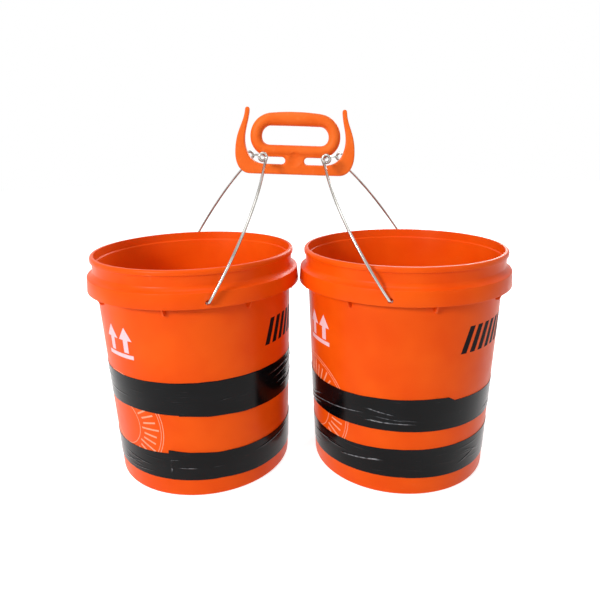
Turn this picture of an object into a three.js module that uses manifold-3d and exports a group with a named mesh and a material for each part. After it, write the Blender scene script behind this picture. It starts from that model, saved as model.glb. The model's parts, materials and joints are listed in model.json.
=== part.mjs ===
// A pair of plastic pails joined by one double-hook carrying handle.
// Millimetres, +Z up. X runs from the left pail to the right pail, Y runs to the back.
// The origin is on the floor, under the middle of the whole assembly's box.
import * as THREE from 'three';
import { mergeVertices } from 'three/addons/utils/BufferGeometryUtils.js';
import Module from 'manifold-3d';

const wasm = await Module();
wasm.setup();

// ---- Driving dimensions ------------------------------------------------------------

// Radii are from the pail's own axis. The rim's heights are measured down from the lip,
// and its radii out from the top of the tapered wall, so the rim keeps its shape on any pail.
const PAIL = {
  height: 348,
  wall: 2.2,
  floor: 2.5,
  topRadius: 147,
  taper: 9.6,
  baseEdge: 4,
  footRise: 3,
  footWidth: 17.4,
  innerFillet: 9,
  segments: 48,
};

const RIM = {
  skirtBottomDrop: 50.9,
  skirtTopDrop: 29.7,
  skirtOut: 13.8,
  skirtTopOut: 12,
  neckBottomDrop: 21.5,
  neckOut: 3.3,
  beadDrop: 7.4,
  beadOut: 5.9,
  lipOut: 2.1,
  ledgeDrop: 13,
  ledgeStep: 1.6,
};

const GUSSET = { count: 8, thickness: 2.4, drop: 11, footOut: 5 };

const PIVOT = { drop: 42.9, holeClearance: 1.75, leftYaw: 16.8, rightYaw: -15 };

const PAIL_GAP = 1.6;

const TAPE = {
  clearance: 0.3,
  thickness: 0.7,
  bands: {
    left_upper_tape: { low: 134.4, high: 186.8 },
    left_lower_tape: { low: 29.5, high: 74.5 },
    right_upper_tape: { low: 106.6, high: 156.6 },
    right_lower_tape: { low: 29.4, high: 76.8 },
  },
};

const WIRE = { radius: 2, sides: 8, bend: 4, endHook: 6 };

const BAIL = {
  archHeight: 219.5,
  legClearance: 2.4,
  legPower: 2.41,
  legRoundness: 1.36,
  legTopDrop: 28.4,
  legSteps: 10,
  eyeDrop: 14.4,
  eyeRadius: 5.3,
  eyePitch: 4.6,
  eyeSteps: 12,
  gripLength: 101,
};

const CARRIER = {
  depth: 12,
  sideways: -3.3,
  plateThickness: 16,
  plateEdge: 2,
  footBelow: 20.1,
  width: 176.6,
  wireInset: 40.4,
  footInset: 22.3,
  tipInset: 17.3,
  tipHeight: 72.2,
  tipRadius: 3.1,
  fingerThickness: 13.3,
  slotRadius: 5.5,
  slotInner: 14,
  slotInset: 44.3,
  slotDrop: 0.3,
  wireSeat: 6.5,
  gripInset: 30.5,
  gripWidth: 17.6,
  gripThickness: 20,
  gripLow: 13.4,
  gripHigh: 58.4,
  gripCrown: 1.4,
  gripLowCorner: 20,
  gripHighCorner: 24,
  gripSides: 12,
};

// ---- Helpers -----------------------------------------------------------------------

const radians = THREE.MathUtils.degToRad;

// Turns a closed three.js geometry into a solid that can be joined and cut.
function toSolid(geometry) {
  const bare = geometry.clone();
  bare.deleteAttribute('normal');
  bare.deleteAttribute('uv');
  const merged = mergeVertices(bare, 1e-4);
  const vertProperties = new Float32Array(merged.getAttribute('position').array);
  const triVerts = new Uint32Array(merged.getIndex().array);
  return new wasm.Manifold(new wasm.Mesh({ numProp: 3, vertProperties, triVerts }));
}

function toGeometry(solid) {
  const mesh = solid.getMesh();
  const geometry = new THREE.BufferGeometry();
  geometry.setAttribute('position', new THREE.BufferAttribute(new Float32Array(mesh.vertProperties), 3));
  geometry.setIndex(new THREE.BufferAttribute(new Uint32Array(mesh.triVerts), 1));
  geometry.computeVertexNormals();
  return geometry;
}

function namedMesh(name, geometry, color, roughness, metalness) {
  const mesh = new THREE.Mesh(geometry, new THREE.MeshStandardMaterial({ color, roughness, metalness }));
  mesh.name = name;
  return mesh;
}

// A curve whose steps follow its own points, so short bends get short steps.
class WirePath extends THREE.CatmullRomCurve3 {
  getPointAt(u, target) {
    return this.getPoint(u, target);
  }

  getTangentAt(u, target) {
    return this.getTangent(u, target);
  }
}

// Revolves an outline of (radius, height) points about +Z.
function revolve(points, segments) {
  return new THREE.LatheGeometry(points, segments).rotateX(Math.PI / 2);
}

// ---- Pail --------------------------------------------------------------------------

const skirtBottom = PAIL.height - RIM.skirtBottomDrop;
const skirtTop = PAIL.height - RIM.skirtTopDrop;
const skirtCeiling = skirtTop - PAIL.wall;
const baseRadius = PAIL.topRadius - PAIL.taper;
const skirtRadius = PAIL.topRadius + RIM.skirtOut;
const skirtTopRadius = PAIL.topRadius + RIM.skirtTopOut;
const pivotHeight = PAIL.height - PIVOT.drop;

// Outer radius of the tapered wall at a height.
function wallRadius(z) {
  return baseRadius + PAIL.taper * z / skirtBottom;
}

function pailOutline() {
  const inner = (z) => wallRadius(z) - PAIL.wall;
  const floorTop = PAIL.footRise + PAIL.floor;
  const footInner = baseRadius - PAIL.footWidth;
  const neckBottom = PAIL.height - RIM.neckBottomDrop;
  const neckRadius = PAIL.topRadius + RIM.neckOut;
  const beadBottom = PAIL.height - RIM.beadDrop;
  const beadRadius = PAIL.topRadius + RIM.beadOut;
  const lipInner = PAIL.topRadius;
  const ledge = PAIL.height - RIM.ledgeDrop;
  const outline = new THREE.Path();
  outline.moveTo(0, PAIL.footRise);
  outline.lineTo(footInner - PAIL.footRise, PAIL.footRise);
  outline.lineTo(footInner, 0);
  outline.lineTo(baseRadius - PAIL.baseEdge, 0);
  outline.absarc(baseRadius - PAIL.baseEdge, PAIL.baseEdge, PAIL.baseEdge, -Math.PI / 2, 0, false);
  // Wall, then the hollow under the skirt and the skirt itself.
  outline.lineTo(wallRadius(skirtCeiling), skirtCeiling);
  outline.lineTo(skirtTopRadius - PAIL.wall, skirtCeiling);
  outline.lineTo(skirtRadius - PAIL.wall, skirtBottom);
  outline.lineTo(skirtRadius, skirtBottom);
  outline.lineTo(skirtTopRadius, skirtTop);
  // Hollow shoulder up to the neck, then the bead that a lid snaps over.
  const shoulder = (neckBottom - skirtTop) / 4;
  outline.quadraticCurveTo(neckRadius + shoulder, skirtTop + shoulder, neckRadius, neckBottom);
  outline.lineTo(neckRadius, beadBottom);
  outline.lineTo(beadRadius - 0.6, beadBottom);
  outline.lineTo(beadRadius, beadBottom + 1.2);
  outline.quadraticCurveTo(beadRadius, PAIL.height, lipInner + RIM.lipOut, PAIL.height);
  outline.lineTo(lipInner, PAIL.height);
  // Small ledge inside the mouth, then the inner wall down to the floor.
  outline.lineTo(lipInner, ledge);
  outline.lineTo(lipInner - RIM.ledgeStep, ledge - 1.2);
  outline.lineTo(inner(floorTop + PAIL.innerFillet), floorTop + PAIL.innerFillet);
  const fillet = PAIL.innerFillet;
  const filletCentre = inner(floorTop + fillet) - fillet;
  outline.absarc(filletCentre, floorTop + fillet, fillet, 0, -Math.PI / 2, true);
  outline.lineTo(0, floorTop);
  return outline.getPoints(2);
}

// One gusset between the wall and the skirt, in the plane Y = 0, reaching out along +X.
function gusset() {
  const bite = PAIL.wall / 2;
  const foot = skirtBottom - GUSSET.drop;
  const skirtInner = skirtRadius - PAIL.wall;
  const side = new THREE.Shape();
  side.moveTo(wallRadius(foot) - bite, foot);
  side.lineTo(wallRadius(foot) + GUSSET.footOut, foot);
  side.lineTo(skirtInner - bite, skirtBottom + bite);
  side.lineTo(skirtInner + bite, skirtBottom + bite);
  side.lineTo(skirtTopRadius - bite, skirtCeiling + bite);
  side.lineTo(wallRadius(skirtCeiling) - bite, skirtCeiling + bite);
  const plate = new THREE.ExtrudeGeometry(side, { depth: GUSSET.thickness, bevelEnabled: false });
  return plate.translate(0, 0, -GUSSET.thickness / 2).rotateX(Math.PI / 2);
}

// The pivot holes lie on the pail's own Y axis, and the gussets stand evenly on both sides of them.
function pailGeometry() {
  let solid = toSolid(revolve(pailOutline(), PAIL.segments));
  const step = 360 / GUSSET.count;
  for (let i = 0; i < GUSSET.count; i += 1) {
    const angle = radians(90 + step * (i + 0.5));
    solid = solid.add(toSolid(gusset().rotateZ(angle)));
  }
  const reach = RIM.skirtOut / 2;
  const hole = WIRE.radius + PIVOT.holeClearance;
  for (const side of [-1, 1]) {
    const drill = new THREE.CylinderGeometry(hole, hole, 2 * reach, 16);
    drill.translate(0, side * skirtRadius, 0);
    drill.translate(0, 0, pivotHeight);
    solid = solid.subtract(toSolid(drill));
  }
  return toGeometry(solid);
}

// ---- Tape --------------------------------------------------------------------------

function tapeGeometry({ low, high }) {
  const inside = (z) => wallRadius(z) + TAPE.clearance;
  const outside = (z) => inside(z) + TAPE.thickness;
  const section = [
    new THREE.Vector2(inside(low), low),
    new THREE.Vector2(outside(low), low),
    new THREE.Vector2(outside(high), high),
    new THREE.Vector2(inside(high), high),
    new THREE.Vector2(inside(low), low),
  ];
  return revolve(section, PAIL.segments);
}

// ---- Bail --------------------------------------------------------------------------

const legFoot = skirtRadius + BAIL.legClearance + WIRE.radius;
const eyeHeight = BAIL.archHeight - BAIL.eyeDrop;
const gripHeight = eyeHeight + BAIL.eyeRadius / 2;

// Half width of the arch at a height above the pivots.
function archHalf(v) {
  return legFoot * (1 - (v / BAIL.archHeight) ** BAIL.legPower) ** (1 / BAIL.legRoundness);
}

// Front half of the bent wire, from its hooked end inside the skirt to the middle of the grip.
// u runs along the pivot axis to the front, v up along the bail, w square to both.
function frontHalf() {
  const points = [];
  const put = (u, w, v) => points.push([u, w, v]);
  const hollow = (wallRadius(pivotHeight) + skirtRadius - PAIL.wall) / 2;
  put(hollow, 0, -WIRE.endHook);
  put(hollow, 0, -WIRE.bend);
  put(hollow + WIRE.bend * 0.3, 0, -WIRE.bend * 0.3);
  put(hollow + WIRE.bend, 0, 0);
  put(legFoot - WIRE.bend, 0, 0);
  put(legFoot - WIRE.bend * 0.3, 0, WIRE.bend * 0.3);
  const legTop = BAIL.archHeight - BAIL.legTopDrop;
  for (let i = 0; i <= BAIL.legSteps; i += 1) {
    const v = WIRE.bend + (legTop - WIRE.bend) * Math.sin(Math.PI / 2 * i / BAIL.legSteps);
    put(archHalf(v), 0, v);
  }
  // One full turn, the eye that kept a grip roll in its place.
  const start = BAIL.gripLength / 2;
  for (let i = 0; i <= BAIL.eyeSteps; i += 1) {
    const turn = 2 * Math.PI * i / BAIL.eyeSteps;
    const w = BAIL.eyeRadius * (1 - Math.cos(turn));
    const v = eyeHeight + BAIL.eyeRadius * Math.sin(turn);
    put(start - BAIL.eyePitch * i / BAIL.eyeSteps, w, v);
  }
  const gripEnd = start - BAIL.eyePitch - BAIL.eyeRadius / 2;
  put(gripEnd, 0, gripHeight);
  return points;
}

// side is 1 on the right and -1 on the left: the eyes bulge away from the other pail.
function bailGeometry(side) {
  const front = frontHalf();
  const back = front.map(([u, w, v]) => [-u, w, v]).reverse();
  const points = [...front, ...back].map(([u, w, v]) => new THREE.Vector3(side * w, -u, v));
  const path = new WirePath(points, false, 'centripetal');
  const section = new THREE.Shape();
  section.absarc(0, 0, WIRE.radius, 0, 2 * Math.PI, false);
  return new THREE.ExtrudeGeometry(section, {
    steps: points.length - 1,
    extrudePath: path,
    curveSegments: WIRE.sides / 2,
    bevelEnabled: false,
  });
}

// ---- Carrying handle ---------------------------------------------------------------

// Right half of the hook plate's outline, from the middle of its foot round to the middle above.
function hookOutline() {
  const c = CARRIER;
  const floor = -c.slotDrop - c.slotRadius;
  const ceiling = -c.slotDrop + c.slotRadius;
  const edge = c.width / 2;
  const footHalf = edge - c.footInset;
  const tipHalf = edge - c.tipInset;
  const fingerInner = edge - c.fingerThickness;
  const slotOuter = edge - c.slotInset;
  const path = new THREE.Path();
  path.moveTo(0, -c.footBelow);
  path.lineTo(footHalf, -c.footBelow);
  path.bezierCurveTo(footHalf + 14, -c.footBelow, edge, -8, edge, 10);
  path.bezierCurveTo(edge, 42, tipHalf + 4, 50, tipHalf + c.tipRadius, c.tipHeight);
  path.absarc(tipHalf, c.tipHeight, c.tipRadius, 0, Math.PI, false);
  path.bezierCurveTo(tipHalf - 3.4, 54, fingerInner, 46, fingerInner, 30);
  path.bezierCurveTo(fingerInner, 10, fingerInner - 13, floor, slotOuter, floor);
  const slotEnd = c.slotInner + c.slotRadius;
  path.absarc(slotEnd, -c.slotDrop, c.slotRadius, -Math.PI / 2, Math.PI / 2, true);
  path.lineTo(slotOuter - c.slotRadius, ceiling);
  path.lineTo(slotOuter, c.gripLow);
  path.lineTo(0, c.gripLow);
  return path.getPoints(6);
}

function hookPlate() {
  const right = hookOutline().slice(1, -1);
  const left = right.map((p) => new THREE.Vector2(-p.x, p.y)).reverse();
  const c = CARRIER;
  const plate = new THREE.ExtrudeGeometry(new THREE.Shape([...right, ...left]), {
    depth: c.plateThickness - 2 * c.plateEdge,
    bevelThickness: c.plateEdge,
    bevelSize: c.plateEdge,
    bevelOffset: -c.plateEdge,
    bevelSegments: 2,
  });
  return plate.translate(0, 0, c.plateEdge - c.plateThickness / 2).rotateX(Math.PI / 2);
}

// Centre line of the right half of the hand grip, an oval loop with a slightly crowned top.
function gripHalf() {
  const c = CARRIER;
  const line = new THREE.Path();
  const lowCorner = c.gripLowCorner;
  const highCorner = c.gripHighCorner;
  const gripHalfWidth = c.width / 2 - c.gripInset;
  line.moveTo(-c.gripWidth / 2, c.gripLow);
  line.lineTo(gripHalfWidth - lowCorner, c.gripLow);
  line.absarc(gripHalfWidth - lowCorner, c.gripLow + lowCorner, lowCorner, -Math.PI / 2, 0, false);
  line.absarc(gripHalfWidth - highCorner, c.gripHigh - highCorner, highCorner, 0, Math.PI / 2, false);
  line.quadraticCurveTo(gripHalfWidth / 3, c.gripHigh + c.gripCrown, 0, c.gripHigh + c.gripCrown);
  line.lineTo(-c.gripWidth / 2, c.gripHigh + c.gripCrown);
  return line.getPoints(3).map((p) => new THREE.Vector3(p.x, 0, p.y));
}

function gripTube(mirror) {
  const c = CARRIER;
  const points = gripHalf().map((p) => p.multiply(new THREE.Vector3(mirror, 1, 1)));
  const section = new THREE.Shape();
  section.absellipse(0, 0, c.gripWidth / 2, c.gripThickness / 2, 0, 2 * Math.PI, false);
  return new THREE.ExtrudeGeometry(section, {
    steps: points.length - 1,
    extrudePath: new WirePath(points, false, 'centripetal'),
    curveSegments: c.gripSides / 2,
    bevelEnabled: false,
  });
}

function carrierGeometry() {
  let solid = toSolid(hookPlate());
  solid = solid.add(toSolid(gripTube(1)));
  solid = solid.add(toSolid(gripTube(-1)));
  return toGeometry(solid);
}

// ---- Assembly ----------------------------------------------------------------------

const assembly = new THREE.Group();
const orange = 0xeb5313;
const halfSpacing = skirtRadius + PAIL_GAP / 2;

const SIDES = {
  left: { side: -1, yaw: PIVOT.leftYaw },
  right: { side: 1, yaw: PIVOT.rightYaw },
};

// How far a bail leans towards the other pail for its wire to lie in the handle's mouth.
function bailLean(side, yaw) {
  const turn = radians(yaw);
  const wireHalf = CARRIER.width / 2 - CARRIER.wireInset;
  const wireFromMiddle = wireHalf + side * CARRIER.sideways;
  const reach = (halfSpacing - wireFromMiddle) * Math.cos(turn) - side * CARRIER.depth * Math.sin(turn);
  return Math.asin(reach / gripHeight);
}

const gripCentres = {};
for (const [name, { side, yaw }] of Object.entries(SIDES)) {
  const stand = new THREE.Group();
  stand.position.set(side * halfSpacing, 0, 0);
  stand.rotation.z = radians(yaw);
  stand.add(namedMesh(`${name}_bucket`, pailGeometry(), orange, 0.45, 0));
  for (const band of ['upper', 'lower']) {
    const tape = `${name}_${band}_tape`;
    stand.add(namedMesh(tape, tapeGeometry(TAPE.bands[tape]), 0x141416, 0.35, 0));
  }
  const swing = new THREE.Group();
  swing.position.z = pivotHeight;
  swing.rotation.y = -side * bailLean(side, yaw);
  swing.add(namedMesh(`${name}_bail`, bailGeometry(side), 0xb8b8b4, 0.3, 1));
  stand.add(swing);
  assembly.add(stand);
  assembly.updateMatrixWorld(true);
  const axis = new THREE.Vector3(0, -1, 0).applyAxisAngle(new THREE.Vector3(0, 0, 1), radians(yaw));
  const centre = swing.localToWorld(new THREE.Vector3(0, 0, gripHeight));
  // Where the grip wire crosses the handle's middle plane.
  gripCentres[name] = centre.addScaledVector(axis, (CARRIER.depth - centre.y) / axis.y);
}

// The underside of the grip's corners rests on both wires, so the handle is tilted along the
// line that joins them. wireSeat is how far that underside lies above the slots' middle.
const along = gripCentres.right.clone().sub(gripCentres.left);
const wireRise = CARRIER.wireSeat - WIRE.radius;
const carrier = new THREE.Group();
carrier.position.copy(gripCentres.left).add(gripCentres.right).multiplyScalar(0.5);
carrier.rotation.y = -Math.atan2(along.z, along.x);
const handle = namedMesh('carrier_handle', carrierGeometry(), 0xf0702a, 0.45, 0);
handle.position.z = -wireRise;
carrier.add(handle);
assembly.add(carrier);

const box = new THREE.Box3().setFromObject(assembly, true);
const middle = box.getCenter(new THREE.Vector3());
for (const part of assembly.children) {
  part.position.x -= middle.x;
  part.position.y -= middle.y;
}

export default assembly;
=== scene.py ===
# %% [markdown]
# # Two pails on one carrying handle
# The object is a pair of moulded pails. Each hangs from a wire bail, and one moulded handle with
# two hooks carries both bails. Each pail is wrapped with two bands of black tape.
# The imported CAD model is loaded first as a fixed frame. The CAD meshes could be shown as they are,
# but their facets and plain finish are made for physics. So every visible piece is built anew
# in the same place, and rides on the CAD body that it moves with.

# %% Load the frame
import json
import math

import bmesh
import bpy
from mathutils import Matrix, Vector, geometry, noise


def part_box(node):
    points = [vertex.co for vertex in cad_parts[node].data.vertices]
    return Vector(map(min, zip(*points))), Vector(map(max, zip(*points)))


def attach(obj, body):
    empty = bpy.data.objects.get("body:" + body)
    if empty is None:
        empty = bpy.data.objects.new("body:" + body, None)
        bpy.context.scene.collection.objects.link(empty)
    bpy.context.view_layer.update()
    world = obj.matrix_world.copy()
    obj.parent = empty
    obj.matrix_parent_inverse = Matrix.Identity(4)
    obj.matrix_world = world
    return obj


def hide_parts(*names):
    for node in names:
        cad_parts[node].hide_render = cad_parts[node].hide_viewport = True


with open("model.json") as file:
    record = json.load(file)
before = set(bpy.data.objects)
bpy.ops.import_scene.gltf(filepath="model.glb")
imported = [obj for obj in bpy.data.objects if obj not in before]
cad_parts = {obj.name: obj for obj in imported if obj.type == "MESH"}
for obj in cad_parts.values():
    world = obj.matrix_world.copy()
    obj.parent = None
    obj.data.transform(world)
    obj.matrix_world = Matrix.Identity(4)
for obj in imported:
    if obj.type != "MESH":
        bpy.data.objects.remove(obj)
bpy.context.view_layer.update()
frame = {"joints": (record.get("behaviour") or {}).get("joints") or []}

MM = 0.001
joints = {joint["name"]: joint for joint in frame["joints"]}

# %% [markdown]
# ## Where things are
# The joints of the frame say where each pail's pivots lie and which way they face. Each pail gets
# a frame of its own: the origin on the floor under the pail's axis, -Y towards its front pivot,
# +Z up. A bail gets a frame at the pivots, with +Z along the bail. The pieces could be built where
# they stand, but both pails are turned and both bails lean. Building in these frames keeps
# the numbers simple, and one matrix then puts the finished mesh in its place.

# %% Frames of the pails and bails
SIDES = {"left": -1, "right": 1}
stand, bail_frame, pivot_height, grip_height = {}, {}, {}, {}
for side, sign in SIDES.items():
    pivot = Vector(joints[f"{side}_pail_tilt"]["pos_m"])
    grip = Vector(joints[f"{side}_bail_swing"]["pos_m"])
    axis = Vector(joints[f"{side}_pail_tilt"]["axis"])
    to_front = axis if axis.y < 0 else -axis
    yaw = math.atan2(to_front.x, -to_front.y)
    # The way from the pivots to the grip, without its part along the pivots' axis.
    reach = grip - pivot
    reach -= axis * reach.dot(axis)
    lean = math.atan2(math.hypot(reach.x, reach.y), reach.z)
    pivot_height[side], grip_height[side] = pivot.z, reach.length
    stand[side] = Matrix.Translation((pivot.x, pivot.y, 0)) @ Matrix.Rotation(yaw, 4, "Z")
    lift = Matrix.Translation((0, 0, pivot.z))
    bail_frame[side] = stand[side] @ lift @ Matrix.Rotation(-sign * lean, 4, "Y")
    print(side, "yaw", round(math.degrees(yaw), 1), "lean", round(math.degrees(lean), 1))

# %% [markdown]
# ## Small helpers
# A bmesh is built in millimetres in its piece's own frame. One function scales it to metres, puts
# it in place, and makes the object, so every object sits at the origin, unturned and unscaled.
# Smooth shading with sharp edges kept by angle suits moulded plastic, which has both.

# %% From a bmesh to an object
SHARP_ANGLE = 32


def object_from(bm, name, place=Matrix.Identity(4), sharp_angle=SHARP_ANGLE):
    """Makes an object from a bmesh in millimetres, put in place by a matrix in metres."""
    bm.transform(place @ Matrix.Scale(MM, 4))
    mesh = bpy.data.meshes.new(name)
    bm.to_mesh(mesh)
    bm.free()
    mesh.shade_smooth()
    mesh.set_sharp_from_angle(angle=math.radians(sharp_angle))
    made = bpy.data.objects.new(name, mesh)
    bpy.context.scene.collection.objects.link(made)
    return made


# %% Applying modifiers and finishing a piece
def apply_modifiers(obj, sharp_angle=None):
    """Replaces an object's mesh with what its modifiers make of it."""
    graph = bpy.context.evaluated_depsgraph_get()
    mesh = bpy.data.meshes.new_from_object(obj.evaluated_get(graph))
    obj.modifiers.clear()
    obj.data = mesh
    mesh.shade_smooth()
    if sharp_angle:
        mesh.set_sharp_from_angle(angle=math.radians(sharp_angle))
    return obj


def finish_piece(obj, material, body, replaced=()):
    """Gives a piece its material, and says which body it rides on and which nodes it replaces."""
    obj.data.materials.clear()
    obj.data.materials.append(material)
    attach(obj, body)
    if replaced:
        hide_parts(*replaced)
    print(f"{obj.name}: {len(obj.data.polygons)} faces on {body}")
    return obj


# %% [markdown]
# ## Colours and nodes
# Paint and plastic colours are easiest to pick as sRGB hex values, while the renderer works in
# linear light, so one function converts them. A node tree could be built with a helper for each
# kind of node. One helper that adds any node was chosen, because every line below then names the
# same node and the same sockets as the editor shows, and can be looked up there.

# %% Helpers for materials
def colour(hex_value):
    """An sRGB hex colour as linear RGBA."""
    parts = [int(hex_value[i : i + 2], 16) / 255 for i in (1, 3, 5)]
    return [p / 12.92 if p <= 0.04045 else ((p + 0.055) / 1.055) ** 2.4 for p in parts] + [1.0]


def add_node(tree, kind, inputs=None, **settings):
    """Adds a node. An input is a value, a hex colour, an output, or a node's first output."""
    made = tree.nodes.new("ShaderNode" + kind)
    for key, value in settings.items():
        setattr(made, key, value)
    for socket, value in (inputs or {}).items():
        if isinstance(value, bpy.types.Node):
            value = value.outputs[0]
        if isinstance(value, bpy.types.NodeSocket):
            tree.links.new(value, made.inputs[socket])
        elif isinstance(value, str):
            made.inputs[socket].default_value = colour(value)
        else:
            made.inputs[socket].default_value = value
    return made


def new_material(name, **shader_values):
    """A material with a Principled shader, and the position on the piece in metres."""
    made = bpy.data.materials.new(name)
    made.use_nodes = True
    tree = made.node_tree
    tree.nodes.clear()
    values = {key.replace("_", " "): value for key, value in shader_values.items()}
    shader = add_node(tree, "BsdfPrincipled", values)
    add_node(tree, "OutputMaterial", {"Surface": shader})
    position = add_node(tree, "TexCoord").outputs["Object"]
    return made, tree, shader, position


def spots(size_mm):
    """Noise scale for spots about size_mm across."""
    return 1 / (size_mm * MM)


def streaks(size_mm, stretch):
    """Mapping scale for spots about size_mm across, drawn out along each axis by stretch."""
    return [1 / (size_mm * MM * s) for s in stretch]


# %% Two tones and an uneven gloss
# A Mix node has its two colours in inputs 6 and 7, and the mixed colour in output 2.
MIX_A, MIX_B, MIXED = 6, 7, 2


def two_tones(tree, vector, scale, first, second, low=0.35, high=0.65, detail=2.0):
    """Two colours in clouds; the noise between low and high mixes them."""
    clouds = add_node(tree, "TexNoise", {"Vector": vector, "Scale": scale, "Detail": detail})
    clouds = add_node(tree, "MapRange", {"Value": clouds, "From Min": low, "From Max": high})
    return add_node(
        tree, "Mix", {"Factor": clouds, MIX_A: first, MIX_B: second}, data_type="RGBA"
    ).outputs[MIXED]


def uneven_gloss(tree, shader, vector, scale, smooth, dull, detail=3.0):
    """Lets the roughness drift from smooth to dull and back."""
    gloss = add_node(tree, "TexNoise", {"Vector": vector, "Scale": scale, "Detail": detail})
    gloss = add_node(tree, "MapRange", {
        "Value": gloss, "From Min": 0.3, "From Max": 0.7, "To Min": smooth, "To Max": dull,
    })
    tree.links.new(gloss.outputs[0], shader.inputs["Roughness"])


# %% [markdown]
# ## Polypropylene of the pails
# A pail like this is injection-moulded polypropylene with a bright orange pigment. The mould is
# polished, so the wall has a satin gloss with broad soft highlights. The eye also sees faint
# clouding of the pigment, long shallow flow waves up the wall, and paler scuffs near the foot and
# on the corners, where use has worn the skin; the paler corners are also a painted highlight along
# the edges. Painted pictures could show all this, but each piece
# would need its own; noise at real sizes draws it on any shape, and sharp at any distance.

# %% Pail plastic: pigment
pail_plastic, tree, shader, position = new_material(
    "moulded_polypropylene", Roughness=0.34, IOR=1.49, Specular_IOR_Level=0.1
)
body_colour = two_tones(tree, position, spots(70), "#EC4F05", "#F2590B")
print("material", pail_plastic.name)

# %% Pail plastic: scuffs, and corners paler from wear and a painted highlight
# The scuffs are thin scratches round the pail, most of them within 45 mm of the floor.
drawn_out = add_node(tree, "Mapping", {"Vector": position, "Scale": streaks(1.4, (14, 14, 1))})
scratches = add_node(
    tree, "TexNoise", {"Vector": drawn_out, "Scale": 1.0, "Detail": 5.0, "Roughness": 0.65}
)
scratches = add_node(tree, "MapRange", {"Value": scratches, "From Min": 0.63, "From Max": 0.72})
patches = add_node(tree, "TexNoise", {"Vector": position, "Scale": spots(25), "Detail": 3.0})
patches = add_node(tree, "MapRange", {"Value": patches, "From Min": 0.42, "From Max": 0.62})
height = add_node(tree, "SeparateXYZ", {"Vector": position}).outputs["Z"]
low_down = add_node(tree, "MapRange", {
    "Value": height, "From Min": 10 * MM, "From Max": 45 * MM, "To Min": 0.55, "To Max": 0.10,
})
scuffs = add_node(tree, "Math", {0: scratches, 1: patches}, operation="MULTIPLY")
scuffs = add_node(tree, "Math", {0: scuffs, 1: low_down}, operation="MULTIPLY")
body_colour = add_node(
    tree, "Mix", {"Factor": scuffs, MIX_A: body_colour, MIX_B: "#FF9A70"}, data_type="RGBA"
).outputs[MIXED]
# Pointiness is higher on outer corners, which are painted a little paler: partly rubbed wear, partly
# a painted highlight along the edges.
pointiness = add_node(tree, "NewGeometry").outputs["Pointiness"]
corners = add_node(
    tree, "MapRange", {"Value": pointiness, "From Min": 0.53, "From Max": 0.62, "To Max": 0.3}
)
body_colour = add_node(
    tree, "Mix", {"Factor": corners, MIX_A: body_colour, MIX_B: "#FF7F4D"}, data_type="RGBA"
).outputs[MIXED]
tree.links.new(body_colour, shader.inputs["Base Color"])

# %% Pail plastic: gloss and relief
uneven_gloss(tree, shader, position, spots(18), 0.30, 0.38)
# Real flow waves are microns deep; these are drawn as deep as they need to be to show.
drawn_out = add_node(tree, "Mapping", {"Vector": position, "Scale": streaks(26, (1, 1, 4))})
flow = add_node(tree, "TexNoise", {"Vector": drawn_out, "Scale": 1.0, "Detail": 1.5})
grain = add_node(tree, "TexNoise", {"Vector": position, "Scale": spots(1.1)})
relief = add_node(tree, "Bump", {"Height": flow, "Distance": 0.5 * MM, "Strength": 0.12})
relief = add_node(
    tree, "Bump", {"Height": grain, "Distance": 0.03 * MM, "Strength": 0.25, "Normal": relief}
)
relief = add_node(
    tree, "Bump", {"Height": scratches, "Distance": 0.04 * MM, "Strength": 0.2, "Normal": relief}
)
tree.links.new(relief.outputs[0], shader.inputs["Normal"])
print("nodes:", len(tree.nodes))

# %% [markdown]
# ## Polypropylene of the handle
# The handle is moulded from the same plastic in a slightly lighter orange. Its mould is
# spark-eroded to give a hand a grip, so it is duller and finely pebbled, and it never shows a
# sharp highlight. The pebbles are too small to change the outline, so bump draws them.

# %% Handle plastic
handle_plastic, tree, shader, position = new_material(
    "spark_eroded_polypropylene", Roughness=0.5, IOR=1.49, Specular_IOR_Level=0.14
)
body_colour = two_tones(tree, position, spots(40), "#EE661A", "#F36F24")
worn = add_node(tree, "TexNoise", {"Vector": position, "Scale": spots(9), "Detail": 4.0})
worn = add_node(
    tree, "MapRange", {"Value": worn, "From Min": 0.58, "From Max": 0.72, "To Max": 0.25}
)
body_colour = add_node(
    tree, "Mix", {"Factor": worn, MIX_A: body_colour, MIX_B: "#FA8443"}, data_type="RGBA"
).outputs[MIXED]
tree.links.new(body_colour, shader.inputs["Base Color"])
uneven_gloss(tree, shader, position, spots(12), 0.44, 0.54)
# The real pebbles are 0.2 mm across; 0.7 mm is the finest that still shows.
pebbles = add_node(tree, "TexNoise", {"Vector": position, "Scale": spots(0.7)})
relief = add_node(tree, "Bump", {"Height": pebbles, "Distance": 0.05 * MM, "Strength": 0.3})
tree.links.new(relief.outputs[0], shader.inputs["Normal"])
print("material", handle_plastic.name)

# %% [markdown]
# ## Galvanised wire
# A bail is 4 mm steel wire, drawn through a die and zinc plated. A mirror-like metal would be too
# clean and a grey paint too flat. A metal of middling roughness, which changes from patch to patch,
# shows zinc that is still bright in some places and has dulled in others.

# %% Bail wire
bail_wire, tree, shader, position = new_material(
    "galvanised_steel_wire", Metallic=1.0, Roughness=0.22
)
zinc = two_tones(tree, position, spots(22), "#BAB8B3", "#9F9C96", low=0.4, high=0.7)
tree.links.new(zinc, shader.inputs["Base Color"])
uneven_gloss(tree, shader, position, spots(14), 0.18, 0.26, detail=2.0)
uneven = add_node(tree, "TexNoise", {"Vector": position, "Scale": spots(3)})
relief = add_node(tree, "Bump", {"Height": uneven, "Distance": 0.02 * MM, "Strength": 0.08})
tree.links.new(relief.outputs[0], shader.inputs["Normal"])
print("material", bail_wire.name)
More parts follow.
